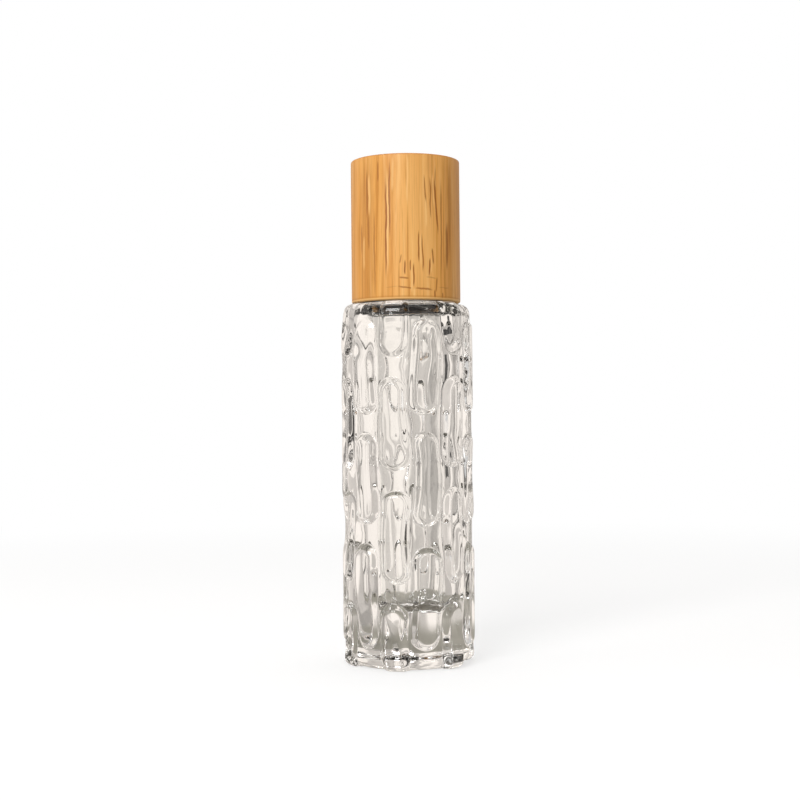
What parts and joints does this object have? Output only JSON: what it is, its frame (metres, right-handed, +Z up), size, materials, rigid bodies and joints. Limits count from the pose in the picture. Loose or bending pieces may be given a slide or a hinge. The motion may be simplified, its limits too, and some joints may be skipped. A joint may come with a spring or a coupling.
{
  "type": "roll-on bottle",
  "caption": "Slim clear glass roll-on vial with raised staggered pads, a steel ball in a press-fit housing and a bamboo screw cap with a black liner.",
  "frame": {"origin": "middle of the foot, on the surface that the bottle stands on", "axes": "+Z up along the bottle's axis, through the ball to the cap's top; -Y is the front"},
  "size_m": [0.0224, 0.0224, 0.0846],
  "materials": {
    "clear_glass": "clear, fire-polished",
    "natural_plastic": "translucent natural moulding",
    "ball_steel": "polished stainless steel",
    "black_plastic": "satin black moulding",
    "bamboo": "turned, sanded and clear lacquered"
  },
  "bodies": {
    "bottle": {"glass_bottle": "clear_glass", "ball_housing": "natural_plastic"},
    "ball": {"roller_ball": "ball_steel"},
    "cap": {"cap_liner": "black_plastic", "cap_shell": "bamboo"}
  },
  "joints": [
    {"name": "ball_roll", "type": "hinge", "parent": "bottle", "child": "ball", "pos_m": [0, 0, 0.0741], "axis": [1, 0, 0], "continuous": true},
    {"name": "cap_lift", "type": "slide", "parent": "bottle", "child": "cap", "axis": [0, 0, 1], "range_m": [0, 0.025]}
  ]
}
